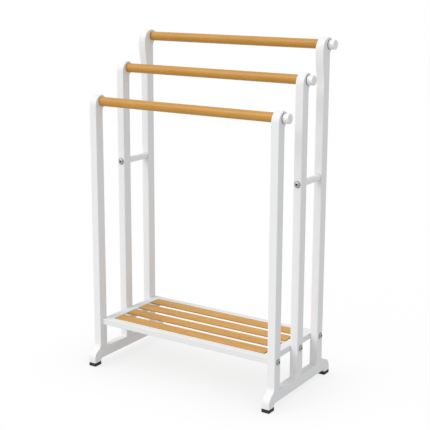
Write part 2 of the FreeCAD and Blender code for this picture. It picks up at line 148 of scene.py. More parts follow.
class BarSettings(bpy.types.PropertyGroup):
    sides: bpy.props.IntProperty(
        name="Sides", description="Facets round a rail or tube", min=12, max=256, default=72)
    tube_socket: bpy.props.FloatProperty(
        name="Tube socket", description="How deep a spacer tube sits in the back post",
        unit="LENGTH", default=2 * MILLIMETRE)


class SlatSettings(bpy.types.PropertyGroup):
    rounding: bpy.props.FloatProperty(
        name="Rounding", description="Radius along a slat's long edges", unit="LENGTH",
        default=1.1 * MILLIMETRE)
    end_bevel: bpy.props.FloatProperty(
        name="End bevel", description="Chamfer round a slat's ends", unit="LENGTH",
        default=0.5 * MILLIMETRE)


class BoltSettings(bpy.types.PropertyGroup):
    hexagon: bpy.props.FloatProperty(
        name="Hexagon", description="Across the flats of the socket", unit="LENGTH",
        default=5 * MILLIMETRE)
    socket_depth: bpy.props.FloatProperty(
        name="Socket depth", description="Depth of the hexagon socket", unit="LENGTH",
        default=3 * MILLIMETRE)
    crown: bpy.props.FloatProperty(
        name="Crown", description="Height of the domed head", unit="LENGTH",
        default=4.6 * MILLIMETRE)
    rim: bpy.props.FloatProperty(
        name="Rim", description="Upright rim under the dome", unit="LENGTH",
        default=0.9 * MILLIMETRE)
    sides: bpy.props.IntProperty(
        name="Sides", description="Facets round a head; a multiple of six suits the hexagon",
        min=12, max=192, default=48)
    turn_seed: bpy.props.IntProperty(
        name="Turn seed", description="How far each socket happens to be turned", default=4)
    # Both ends of the chrome's painted shading: lit on top of the dome, shaded under the rim and
    # in the socket
    bright: bpy.props.FloatVectorProperty(
        name="Bright chrome", description="Chrome on top of the dome", subtype="COLOR", size=3,
        min=0, max=1, default=(0.47, 0.47, 0.475))
    dark: bpy.props.FloatVectorProperty(
        name="Dark chrome", description="Chrome under the rim and in the socket",
        subtype="COLOR", size=3, min=0, max=1, default=(0.09, 0.09, 0.093))


class KnobSettings(bpy.types.PropertyGroup):
    rim: bpy.props.FloatProperty(
        name="Outer rim", description="Rounding of a knob's outer rim", unit="LENGTH",
        default=0.9 * MILLIMETRE)
    foot: bpy.props.FloatProperty(
        name="Inner rim", description="Rounding of the rim against the washer", unit="LENGTH",
        default=0.6 * MILLIMETRE)
    dish: bpy.props.FloatProperty(
        name="Dish", description="Hollow in the middle of the end face", unit="LENGTH",
        default=0.15 * MILLIMETRE)
    sides: bpy.props.IntProperty(
        name="Sides", description="Facets round a knob", min=12, max=256, default=64)
    colour: bpy.props.FloatVectorProperty(
        name="Colour", description="White of the knobs and cover caps", subtype="COLOR", size=3,
        min=0, max=1, default=(0.86, 0.86, 0.86))
    # The nylon washers are a real part, but their dark grey is painted shade: they show as the
    # dark ring at each knob's foot
    washer_shadow_grey: bpy.props.FloatVectorProperty(
        name="Washer colour", description="Grey of the nylon washers", subtype="COLOR", size=3,
        min=0, max=1, default=(0.23, 0.23, 0.23))


class StageSettings(bpy.types.PropertyGroup):
    floor_size: bpy.props.FloatProperty(
        name="Floor size", description="Side of the pale floor", unit="LENGTH", default=24.0)
    floor_colour: bpy.props.FloatVectorProperty(
        name="Floor colour", description="Pale floor", subtype="COLOR", size=3,
        min=0, max=1, default=(0.945, 0.945, 0.945))
    key_strength: bpy.props.FloatProperty(
        name="Key strength", description="Sun from the front left", default=1.54)
    key_direction: bpy.props.FloatVectorProperty(
        name="Key direction", description="From the stand towards the sun",
        subtype="DIRECTION", size=3, default=(-0.405, -0.623, 0.669))
    key_spread: bpy.props.FloatProperty(
        name="Key spread", description="How wide, and so how soft, the sun is",
        subtype="ANGLE", default=math.radians(42))
    key_colour: bpy.props.FloatVectorProperty(
        name="Key colour", description="Warm enough to even out the cool sky", subtype="COLOR",
        size=3, min=0, max=1, default=(1, 0.98, 0.966))
    sky_strength: bpy.props.FloatProperty(
        name="Sky strength", description="Even light from all round", default=0.69)
    sky_colour: bpy.props.FloatVectorProperty(
        name="Sky colour", description="Cool enough to even out the wood's warm reflections",
        subtype="COLOR", size=3, min=0, max=2, default=(0.986, 1, 1.011))
    lifted: bpy.props.FloatProperty(
        name="Lifted", description="How far the floor that is seen is lifted to plain white",
        subtype="FACTOR", min=0, max=1, default=0.94)
    # Painted shadow: the floor's seen glow darkened by ambient occlusion close under the stand
    contact: bpy.props.FloatProperty(
        name="Contact", description="How far the floor darkens close under the stand",
        subtype="FACTOR", min=0, max=1, default=0.2)
    contact_reach: bpy.props.FloatProperty(
        name="Contact reach", description="How far around the stand that darkening goes",
        unit="LENGTH", default=0.2)
    bounce: bpy.props.FloatProperty(
        name="Bounce", description="Share of light that the floor throws back onto the stand",
        subtype="FACTOR", min=0, max=1, default=0.63)
    evenness: bpy.props.FloatProperty(
        name="Evenness", description="How little the stand's own shadow weakens that light",
        subtype="FACTOR", min=0, max=1, default=0.8)
    camera_place: bpy.props.FloatVectorProperty(
        name="Camera place", description="Where the photograph was taken from",
        subtype="TRANSLATION", size=3, default=(1.2863, -1.9441, 0.9533))
    camera_turn: bpy.props.FloatVectorProperty(
        name="Camera turn", description="To the left, downwards and about its axis",
        subtype="EULER", size=3,
        default=(math.radians(32.433), math.radians(12.346), math.radians(0.413)))
    sensor_width: bpy.props.FloatProperty(
        name="Sensor width", description="In millimetres", default=36.0)
    frame_pixels: bpy.props.IntProperty(
        name="Frame", description="Width and height of the photograph in pixels", default=430)
    focal_pixels: bpy.props.FloatProperty(
        name="Focal length", description="In pixels of the photograph's frame", default=1007.96)
    axis_pixel: bpy.props.FloatVectorProperty(
        name="Optical axis", description="Where it meets the frame, in pixels", size=2,
        default=(229.53, 193.5))


class TowelStandSettings(bpy.types.PropertyGroup):
    lacquer: bpy.props.PointerProperty(
        name="Lacquer", description="White finish of the wooden frames", type=LacquerSettings)
    bamboo: bpy.props.PointerProperty(
        name="Bamboo", description="Wood of the rails and slats", type=BambooSettings)
    bars: bpy.props.PointerProperty(
        name="Bars", description="Rails and spacer tubes", type=BarSettings)
    slats: bpy.props.PointerProperty(
        name="Slats", description="Boards of the shelf", type=SlatSettings)
    bolts: bpy.props.PointerProperty(
        name="Bolts", description="Domed bolt heads", type=BoltSettings)
    knobs: bpy.props.PointerProperty(
        name="Knobs", description="Hand knobs, washers and cover caps", type=KnobSettings)
    stage: bpy.props.PointerProperty(
        name="Stage", description="Floor, light and camera", type=StageSettings)


# ---------------------------------------------------------------- node trees as expressions
class Value:
    """An output of a node; arithmetic with it adds Math nodes."""

    def __init__(self, graph, socket):
        self.graph = graph
        self.socket = socket

    def math(self, operation, *others):
        return self.graph.add("ShaderNodeMath", {"operation": operation}, [self, *others])

    def __add__(self, other):
        return self.math("ADD", other)

    def __sub__(self, other):
        return self.math("SUBTRACT", other)

    def __rsub__(self, other):
        return self.graph.add("ShaderNodeMath", {"operation": "SUBTRACT"}, [other, self])

    def __mul__(self, other):
        return self.math("MULTIPLY", other)

    def __truediv__(self, other):
        return self.math("DIVIDE", other)

    __radd__ = __add__
    __rmul__ = __mul__


class Graph:
    """Adds nodes to a shader or a geometry tree."""

    def __init__(self, tree):
        self.tree = tree

    def add(self, kind, settings=None, values=(), out=0):
        """Makes one node: its settings first, because they decide which of the sockets of one
        name is in use, then its sockets. Returns the output, or the node where out is None."""
        node = self.tree.nodes.new(kind)
        for name, setting in (settings or {}).items():
            setattr(node, name, setting)
        pairs = values.items() if isinstance(values, dict) else enumerate(values)
        for key, value in pairs:
            if isinstance(value, Value):
                self.tree.links.new(value.socket, node.inputs[key])
            else:
                node.inputs[key].default_value = value
        return node if out is None else Value(self, node.outputs[out])

    def mix(self, factor, first, second, blend="MIX"):
        """Two colours mixed by a factor."""
        settings = {"data_type": "RGBA", "blend_type": blend, "clamp_factor": True}
        colours = [c if isinstance(c, Value) else (*c, 1) for c in (first, second)]
        values = {"Factor": factor, "A": colours[0], "B": colours[1]}
        return self.add("ShaderNodeMix", settings, values, out="Result")

    def smooth_step(self, value, low, high):
        """0 below low, 1 above high, and smooth between them."""
        return self.add(
            "ShaderNodeMapRange", {"interpolation_type": "SMOOTHSTEP"},
            {"Value": value, "From Min": low, "From Max": high})

    def axes(self, vector):
        """The three parts of a vector."""
        node = self.add("ShaderNodeSeparateXYZ", None, [vector], out=None)
        return [Value(self, output) for output in node.outputs]

    def vector(self, x, y, z):
        return self.add("ShaderNodeCombineXYZ", None, [x, y, z])


class Finish(Graph):
    """A material made of one Principled BSDF and what feeds it."""

    def __init__(self, name, **constants):
        self.material = bpy.data.materials.new(name)
        self.material.use_nodes = True
        super().__init__(self.material.node_tree)
        self.tree.nodes.clear()
        self.surface = self.add("ShaderNodeBsdfPrincipled", out=None)
        self.output = self.add("ShaderNodeOutputMaterial", out=None)
        self.tree.links.new(self.surface.outputs[0], self.output.inputs["Surface"])
        for constant, value in constants.items():
            self.surface_input(constant).default_value = value
        self.place = self.add("ShaderNodeTexCoord", out="Object")

    def surface_input(self, name):
        """The surface's socket of a name such as specular_ior_level."""
        return self.surface.inputs[name.replace("_", " ").title().replace("Ior", "IOR")]

    def feed(self, **sources):
        """Links varying values to sockets of the surface."""
        for name, source in sources.items():
            self.tree.links.new(source.socket, self.surface_input(name))

    def attribute(self, name):
        """A number that the mesh carries."""
        return self.add("ShaderNodeAttribute", {"attribute_name": name}, out="Fac")

    def noise(self, vector, scale=1.0, detail=2.0, rough=0.5):
        values = {"Vector": vector, "Scale": scale, "Detail": detail, "Roughness": rough}
        return self.add("ShaderNodeTexNoise", None, values)

    def grain(self, axis, pattern, detail, offset=(0, 0, 0), rough=0.5):
        """Noise drawn out along one axis; pattern is its length there and its width across."""
        length, width = pattern
        scale = [1 / length if index == axis else 1 / width for index in range(3)]
        values = {"Vector": self.place, "Location": offset, "Scale": scale}
        drawn_out = self.add("ShaderNodeMapping", None, values)
        return self.noise(drawn_out, detail=detail, rough=rough)

    def cells(self, vector):
        """A random number from 0 to 1 for each whole-number cell of the vector."""
        floor = self.add("ShaderNodeVectorMath", {"operation": "FLOOR"}, [vector])
        return self.add("ShaderNodeTexWhiteNoise", {"noise_dimensions": "3D"}, {"Vector": floor})

    def relief(self, height, depth):
        """Feeds a height map, 0 to 1 over depth in metres, to the surface as bump."""
        values = {"Strength": 1.0, "Distance": depth, "Height": height}
        self.feed(normal=self.add("ShaderNodeBump", None, values))


def between(factor, low, high):
    """A number that goes from low to high as the factor goes from 0 to 1."""
    return factor * (high - low) + low


def around(middle, reach, pattern):
    """A number that a pattern from 0 to 1 moves about its middle."""
    return between(pattern, middle - reach, middle + reach)


def scaled(colour, share):
    """A colour with each channel multiplied."""
    return tuple(channel * share for channel in colour)


def background_rays(graph):
    """1 for rays that show the background itself or mirrored, 0 for those that light the stand."""
    ray = graph.add("ShaderNodeLightPath", out=None)
    kinds = ("Is Camera Ray", "Is Glossy Ray", "Is Transmission Ray")
    camera, glossy, through = [Value(graph, ray.outputs[kind]) for kind in kinds]
    return (camera + glossy + through).math("MINIMUM", 1.0)


# ---------------------------------------------------------------- finishes
def lacquer(name, grain_axis, settings, tone=1.0, edge=None):
    """White satin lacquer over wood whose grain runs along one axis. tone makes it lighter or
    darker, and edge is 1 where painted shadow darkens it, as where a tube enters its socket."""
    finish = Finish(name, specular_ior_level=0.22)
    white = scaled(settings.colour, tone)
    clouded, in_pores = scaled(white, 0.98), scaled(white, 0.9)
    filled = finish.smooth_step(finish.grain(grain_axis, PORES, detail=3.0), low=0.36, high=0.62)
    pores = 1 - filled
    peel = finish.noise(finish.place, scale=1 / settings.peel_size, detail=1.0)
    clouds = finish.noise(finish.place, scale=14.0, detail=3.0)
    shade = finish.mix(clouds, clouded, white)
    shade = finish.mix(pores * 0.06, shade, in_pores)
    # Painted shadow, as where a tube enters its socket
    if edge:
        place = finish.axes(finish.place)[grain_axis]
        shade = finish.mix(edge(finish, place) * PAINTED_SHADE_SHARE, shade, SOCKET_SHADOW_GREY)
    finish.feed(
        base_color=shade,
        roughness=around(settings.roughness, 0.05, clouds) + pores * 0.06)
    finish.relief(filled * (settings.pore_depth / settings.peel_depth) + peel, settings.peel_depth)
    return finish.material


def bamboo(name, settings, strip_axis, edge, knuckles, stain=WHITE, gloss=0.0):
    """Clear-finished bamboo along X: fibres, glued strips and knuckles. edge is 1 where painted
    shade darkens it, as on a slat's narrow sides or where a rail leaves its socket; knuckles says
    how strongly they show; stain colours the wood, and gloss smooths it."""
    finish = Finish(
        name, specular_ior_level=0.12, coat_weight=gloss / FULL_GLOSS, coat_roughness=0.35)
    place = finish.axes(finish.place)
    strip = place[strip_axis] / settings.strip_width
    strip_tone = finish.cells(finish.vector(0.0, strip, 0.0))
    tone = finish.attribute("tone")
    fibres = finish.grain(ACROSS, FIBRES, detail=4.0, rough=0.6)
    streaks = finish.grain(ACROSS, STREAKS, detail=2.0, offset=(0.3, 0, 0))
    flecks = finish.grain(ACROSS, FLECKS, detail=1.0, offset=(0, 0.7, 0))
    patches = finish.grain(ACROSS, PATCHES, detail=2.0)

    # A knuckle is a thin wavy band across one strip, at its own place along each strip and bar,
    # which their tones move by up to so many spacings
    strip_shift, bar_shift = 7.31, 3.7
    wave = finish.grain(ACROSS, KNUCKLE_WAVES, detail=1.0) * (12 * MILLIMETRE)
    spacings = (place[ACROSS] + wave) / settings.knuckle_spacing
    spacings = spacings + strip_tone * strip_shift + tone * bar_shift
    from_knuckle = (spacings.math("FRACT") - 0.5).math("ABSOLUTE")
    knuckle = (1 - finish.smooth_step(from_knuckle, low=0.002, high=0.010)) * knuckles

    warmth = fibres * 0.45 + streaks * 0.35 + patches * 0.2
    colour = finish.mix(
        finish.smooth_step(warmth, low=0.36, high=0.66), settings.honey, settings.pale)
    darkening = (
        finish.smooth_step(flecks, low=0.6, high=0.74) * 0.3,
        finish.smooth_step(streaks, low=0.52, high=0.8) * 0.25,
        knuckle,
        # painted shade on the slats' narrow sides and where the rails leave their sockets
        edge(finish, place[ACROSS]) * PAINTED_SHADE_SHARE,
    )
    for share in darkening:
        colour = finish.mix(share, colour, settings.dark)
    shade = 0.93 + strip_tone * 0.07 + tone * 0.06
    colour = finish.mix(1.0, colour, finish.vector(*scaled(stain, shade)), "MULTIPLY")
    finish.feed(base_color=colour, roughness=settings.roughness - gloss - 0.06 + fibres * 0.14)
    finish.relief(fibres * 0.7 + flecks * 0.3 - knuckle, 0.06 * MILLIMETRE)
    return finish.material


def painted_side_shade(finish, place):
    """Painted shade on a board's narrow sides and ends, 1 there and 0 on its faces, wherever the
    place along it.
    """
    return finish.attribute("side")


def socket_shadow_lines(low, high):
    """1 in the thin line of painted shadow where a round bar leaves its sockets, at these places
    along it.
    """
    middle = (low + high) / 2
    half = (high - low) / 2
    line_starts = half - 1.4 * MILLIMETRE
    line_is_full = half - 0.2 * MILLIMETRE

    def line(finish, place):
        from_middle = (place - middle).math("ABSOLUTE")
        return finish.smooth_step(from_middle, line_starts, line_is_full)

    return line


def chrome(name, settings):
    """Satin chrome with a breath of haze, and painted shading from the mesh's shade: dark in the
    socket and under the rim, lighter up the dome.
    """
    finish = Finish(name, metallic=0.55, specular_ior_level=0.3)
    haze = finish.noise(finish.place, scale=260.0, detail=3.0)
    finish.feed(
        base_color=finish.mix(finish.attribute("shade"), settings.dark, settings.bright),
        roughness=0.4 + haze * 0.14)
    finish.relief(finish.noise(finish.place, scale=2400.0, detail=1.0), 0.002 * MILLIMETRE)
    return finish.material


def moulded(name, colour, roughness, grain, depth, fade=0.97):
    """Moulded plastic or rubber: a fine even grain over one colour, faded in places."""
    finish = Finish(name)
    clouds = finish.noise(finish.place, scale=60.0, detail=3.0)
    stipple = finish.noise(finish.place, scale=1 / grain, detail=2.0)
    finish.feed(
        base_color=finish.mix(clouds, scaled(colour, fade), colour),
        roughness=around(roughness, 0.04, stipple))
    finish.relief(stipple, depth)
    return finish.material


def metal(name, colour, roughness):
    """Plated steel or brass of the screws, studs and inserts."""
    finish = Finish(name, metallic=1.0)
    clouds = finish.noise(finish.place, scale=180.0, detail=4.0)
    dull = scaled(colour, 0.75)
    finish.feed(
        base_color=finish.mix(clouds, dull, colour), roughness=around(roughness, 0.1, clouds))
    return finish.material


def raw_wood(name):
    """Fluted beech dowels."""
    finish = Finish(name, roughness=0.6)
    flecks = finish.grain(UP, BEECH_FLECKS, detail=3.0)
    finish.feed(base_color=finish.mix(flecks, BEECH_DARK, BEECH_PALE))
    finish.relief(flecks, 0.05 * MILLIMETRE)
    return finish.material


def paint(material, *nodes):
    """Gives CAD nodes a finish."""
    for name in nodes:
        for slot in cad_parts[name].material_slots:
            slot.material = material


# ---------------------------------------------------------------- meshes
def middle_of(box):
    return (box[0] + box[1]) / 2


def solid_boxes(node):
    """Lowest and highest corner of each separate solid of a CAD node, from front to back."""
    mesh = bmesh.new()
    mesh.from_mesh(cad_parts[node].data)
    bmesh.ops.remove_doubles(mesh, verts=mesh.verts, dist=SAME_PLACE)
    left = set(mesh.verts)
    boxes = []
    while left:
        reached = {left.pop()}
        to_follow = list(reached)
        while to_follow:
            for edge in to_follow.pop().link_edges:
                for vertex in edge.verts:
                    if vertex in left:
                        left.discard(vertex)
                        reached.add(vertex)
                        to_follow.append(vertex)
        low = Vector([min(vertex.co[axis] for vertex in reached) for axis in range(3)])
        high = Vector([max(vertex.co[axis] for vertex in reached) for axis in range(3)])
        boxes.append((low, high))
    mesh.free()
    return sorted(boxes, key=lambda box: box[0].y)


def turned(name, rings, sides, place=Matrix.Identity(4)):
    """A closed turned mesh; each ring is (radius, height) or (radius, height, shade), shade being
    painted shading from 0, dark, to 1, bright, and its radius a number or a function of the angle.
    A ring of radius 0 is a single point."""
    mesh = bmesh.new()
    painted_shading = mesh.verts.layers.float.new("shade")
    loops = []
    for radius, height, *shade in rings:
        loop = []
        for step in range(1 if radius == 0 else sides):
            angle = 2 * math.pi * step / sides
            reach = radius(angle) if callable(radius) else radius
            vertex = mesh.verts.new((reach * math.cos(angle), reach * math.sin(angle), height))
            vertex[painted_shading] = shade[0] if shade else 1.0
            loop.append(vertex)
        loops.append(loop)
    for inner, outer in zip(loops, loops[1:]):
        for step in range(sides):
            following = (step + 1) % sides
            if len(inner) == 1:
                mesh.faces.new((inner[0], outer[step], outer[following]))
            elif len(outer) == 1:
                mesh.faces.new((inner[step], outer[0], inner[following]))
            else:
                mesh.faces.new((inner[step], outer[step], outer[following], inner[following]))
    bmesh.ops.transform(mesh, matrix=place, verts=mesh.verts)
    bmesh.ops.recalc_face_normals(mesh, faces=mesh.faces)
    return new_object(name, mesh)


def new_object(name, mesh):
    """An object from a bmesh, at the origin and smooth except at real corners."""
    data = bpy.data.meshes.new(name)
    mesh.to_mesh(data)
    mesh.free()
    obj = bpy.data.objects.new(name, data)
    bpy.context.scene.collection.objects.link(obj)
    smooth(obj)
    return obj


def smooth(obj):
    obj.data.shade_smooth()
    obj.data.set_sharp_from_angle(angle=CORNER)


def quarter(centre_radius, centre_height, size, start, end, steps=5):
    """Points of a rounded rim, as (radius, height), from one angle in degrees to another."""
    points = []
    for step in range(steps + 1):
        turn = math.radians(start + (end - start) * step / steps)
        points.append(
            (centre_radius + size * math.cos(turn), centre_height + size * math.sin(turn)))
    return points


def dress(obj, material, slot, body, *nodes):
    """Gives a finished piece its finish, its body and the CAD nodes it stands for."""
    obj.data.materials.clear()
    obj.data.materials.append(material)
    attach(obj, body)
    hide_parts(*nodes)


# ---------------------------------------------------------------- geometry nodes
class Shape(Graph):
    """A geometry tree with named inputs, run once and turned into a plain mesh."""

    def __init__(self, name):
        super().__init__(bpy.data.node_groups.new(name, "GeometryNodeTree"))
        for way in ("OUTPUT", "INPUT"):
            self.tree.interface.new_socket(
                "Geometry", in_out=way, socket_type="NodeSocketGeometry")
        self.inputs = self.tree.nodes.new("NodeGroupInput")
        self.points = Value(self, self.inputs.outputs["Geometry"])

    def size(self, name, kind="Float"):
        """A named input."""
        self.tree.interface.new_socket(name, in_out="INPUT", socket_type="NodeSocket" + kind)
        return Value(self, self.inputs.outputs[name])

    def end(self, geometry):
        """Realizes the copies, sets the material and closes the tree."""
        real = self.add("GeometryNodeRealizeInstances", None, [geometry])
        material = self.size("Material", "Material")
        values = {"Geometry": real, "Material": material}
        coloured = self.add("GeometryNodeSetMaterial", None, values)
        output = self.tree.nodes.new("NodeGroupOutput")
        self.tree.links.new(coloured.socket, output.inputs[0])

    def build(self, name, points, sizes, directions):
        """A plain mesh from the tree, fed with points, the way that the piece on each faces, and
        the sizes of its inputs."""
        data = bpy.data.meshes.new(name)
        data.from_pydata([tuple(point) for point in points], [], [])
        facing = data.attributes.new("facing", "FLOAT_VECTOR", "POINT")
        facing.data.foreach_set("vector", [part for way in directions for part in way])
        obj = bpy.data.objects.new(name, data)
        bpy.context.scene.collection.objects.link(obj)
        modifier = obj.modifiers.new("Build", "NODES")
        modifier.node_group = self.tree
        for item in self.tree.interface.items_tree:
            if item.in_out == "INPUT" and item.name in sizes:
                modifier[item.identifier] = sizes[item.name]
        graph = bpy.context.evaluated_depsgraph_get()
        mesh = bpy.data.meshes.new_from_object(obj.evaluated_get(graph), depsgraph=graph)
        obj.modifiers.clear()
        obj.data = mesh
        smooth(obj)
        return obj

    def bar(self, length, section):
        """A bar of one section along Z, its middle at the origin, closed at both ends."""
        start, end = [self.vector(0.0, 0.0, length * share) for share in (-0.5, 0.5)]
        line = self.add("GeometryNodeCurvePrimitiveLine", None, {"Start": start, "End": end})
        values = {"Curve": line, "Profile Curve": section, "Fill Caps": True}
        return self.add("GeometryNodeCurveToMesh", None, values)

    def copies(self, piece, seed, turn=0.0):
        """Copies a piece onto each point, its Z along the point's facing and turned about it at
        random by up to turn, with a tone of its own."""
        a_number = {"data_type": "FLOAT"}
        facing = self.add(
            "GeometryNodeInputNamedAttribute", {"data_type": "FLOAT_VECTOR"}, {"Name": "facing"})
        aimed = self.add("FunctionNodeAlignRotationToVector", {"axis": "Z"}, {"Vector": facing})
        values = {"Min": 0.0, "Max": turn, "Seed": seed}
        spin = self.add("FunctionNodeRandomValue", a_number, values, out="Value")
        values = {"Axis": (0, 0, 1), "Angle": spin}
        about_axis = self.add("FunctionNodeAxisAngleToRotation", None, values)
        rotation = self.add(
            "FunctionNodeRotateRotation", {"rotation_space": "LOCAL"}, [aimed, about_axis])
        values = {"Points": self.points, "Instance": piece, "Rotation": rotation}
        copies = self.add("GeometryNodeInstanceOnPoints", None, values)
        tone = self.add("FunctionNodeRandomValue", a_number, {"Seed": seed}, out="Value")
        return self.add(
            "GeometryNodeStoreNamedAttribute", {**a_number, "domain": "INSTANCE"},
            {"Geometry": copies, "Name": "tone", "Value": tone})


def round_bars():
    """Tree for round bars centred on points, each facing along its own direction."""
    shape = Shape("Round bars")
    length = shape.size("Length")
    radius = shape.size("Radius")
    sides = shape.size("Sides", "Int")
    seed = shape.size("Seed", "Int")
    ring = shape.add(
        "GeometryNodeCurvePrimitiveCircle", None, {"Resolution": sides, "Radius": radius})
    shape.end(shape.copies(shape.bar(length, ring), seed))
    return shape


def shelf_boards():
    """Tree for a row of flat boards with rounded long edges, along X."""
    shape = Shape("Shelf boards")
    length = shape.size("Length")
    width = shape.size("Width")
    thickness = shape.size("Thickness")
    rounding = shape.size("Rounding")
    seed = shape.size("Seed", "Int")
    section = shape.add(
        "GeometryNodeCurvePrimitiveQuadrilateral", None, {"Width": thickness, "Height": width})
    section = shape.add(
        "GeometryNodeFilletCurve", {"mode": "POLY"},
        {"Curve": section, "Radius": rounding, "Count": 6})
    normal = shape.add("GeometryNodeInputNormal")
    through = shape.axes(normal)[ACROSS].math("ABSOLUTE")
    # side is 1 on the narrow sides and ends, where the slats' finish paints shade
    board = shape.add(
        "GeometryNodeStoreNamedAttribute", {"data_type": "FLOAT", "domain": "FACE"},
        {"Geometry": shape.bar(length, section), "Name": "side", "Value": 1 - through})
    shape.end(shape.copies(board, seed))
    return shape


def bolt_heads():
    """Tree that sets a bolt head on each point, its socket turned at random."""
    shape = Shape("Bolt heads")
    head = shape.size("Head", "Object")
    seed = shape.size("Seed", "Int")
    values = {"Object": head, "As Instance": True}
    piece = shape.add("GeometryNodeObjectInfo", None, values, out="Geometry")
    shape.end(shape.copies(piece, seed, SIXTH_TURN))
    return shape


# ---------------------------------------------------------------- pieces
class TOWELSTAND_OT_side_frames(bpy.types.Operator):
    """Lacquers the posts and the foot rails, and makes the spacer tubes"""
    bl_idname = "towelstand.side_frames"
    bl_label = "Side frames"

    def execute(self, context):
        settings = context.scene.towel_stand
        upright = lacquer("Lacquer on upright grain", UP, settings.lacquer)
        level = lacquer("Lacquer on foot rails", DEEP, settings.lacquer)
        for side in SIDES:
            paint(upright, *[side + "_" + tier + "_post" for tier in TIERS])
            paint(level, side + "_foot_rail")
            tube = side + "_spacer_tube"
            low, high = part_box(tube)
            # Painted shadow at both ends of the tube, where it meets the posts
            ends = socket_shadow_lines(low.y, high.y - settings.bars.tube_socket)
            painted = lacquer(
                "Lacquer on " + side + " tube", DEEP, settings.lacquer, TUBE_WHITE_AND_HIGHLIGHT, ends)
            sizes = {
                "Length": high.y - low.y,
                "Radius": (high.x - low.x) / 2,
                "Sides": settings.bars.sides,
                "Material": painted,
            }
            bar = round_bars().build(side + "_tube", [middle_of((low, high))], sizes, [Y])
            dress(bar, painted, "white_steel", "stand", tube)
        return {"FINISHED"}


class TOWELSTAND_OT_rails(bpy.types.Operator):
    """Makes the three round rails"""
    bl_idname = "towelstand.rails"
    bl_label = "Rails"

    def execute(self, context):
        settings = context.scene.towel_stand
        look = settings.bamboo
        # Painted shadow at both ends of the rails, where they leave the heads' sockets
        ends = socket_shadow_lines(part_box("left_front_post")[1].x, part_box("right_front_post")[0].x)
        wood = bamboo(
            "Bamboo rail", look, UP, ends, look.rail_knuckles, look.rail_stain, look.rail_gloss)
        nodes = [tier + "_rail" for tier in TIERS]
        boxes = [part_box(node) for node in nodes]
        low, high = boxes[0]
        sizes = {
            "Length": high.x - low.x,
            "Radius": (high.z - low.z) / 2,
            "Sides": settings.bars.sides,
            "Seed": look.rail_seed,
            "Material": wood,
        }
        middles = [middle_of(box) for box in boxes]
        rails = round_bars().build("round_rails", middles, sizes, [X] * len(boxes))
        dress(rails, wood, "bamboo", "stand", *nodes)
        return {"FINISHED"}


class TOWELSTAND_OT_shelf(bpy.types.Operator):
    """Makes the shelf's slats and lacquers its frame"""
    bl_idname = "towelstand.shelf"
    bl_label = "Shelf"

    def execute(self, context):
        settings = context.scene.towel_stand
        look = settings.bamboo
        # The shelf's frame gets a darker white than the posts, as painted shade
        across = lacquer("Lacquer on shelf bars", ACROSS, settings.lacquer, SHELF_SHADE_TONE)
        deep = lacquer("Lacquer on shelf ends", DEEP, settings.lacquer, SHELF_SHADE_TONE)
        paint(across, "shelf_front_bar", "shelf_rear_bar")
        paint(deep, *["shelf_" + side + part for side in SIDES for part in ("_end_bar", "_ledge")])

        # Painted shade on the slats' narrow sides and ends
        wood = bamboo("Bamboo slat", look, DEEP, painted_side_shade, look.slat_knuckles)
        nodes = sorted(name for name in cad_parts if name.startswith("shelf_slat_"))
        boxes = [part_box(node) for node in nodes]
        low, high = boxes[0]
        sizes = {
            "Length": high.x - low.x,
            "Width": high.y - low.y,
            "Thickness": high.z - low.z,
            "Rounding": settings.slats.rounding,
            "Seed": look.slat_seed,
            "Material": wood,
        }
        middles = [middle_of(box) for box in boxes]
        slats = shelf_boards().build("shelf_slats", middles, sizes, [X] * len(boxes))
        bevel = slats.modifiers.new("Eased ends", "BEVEL")
        bevel.width = settings.slats.end_bevel
        bevel.segments = 2
        bevel.limit_method = "ANGLE"
        bevel.angle_limit = math.radians(50)
        dress(slats, wood, "bamboo", "stand", *nodes)
        return {"FINISHED"}


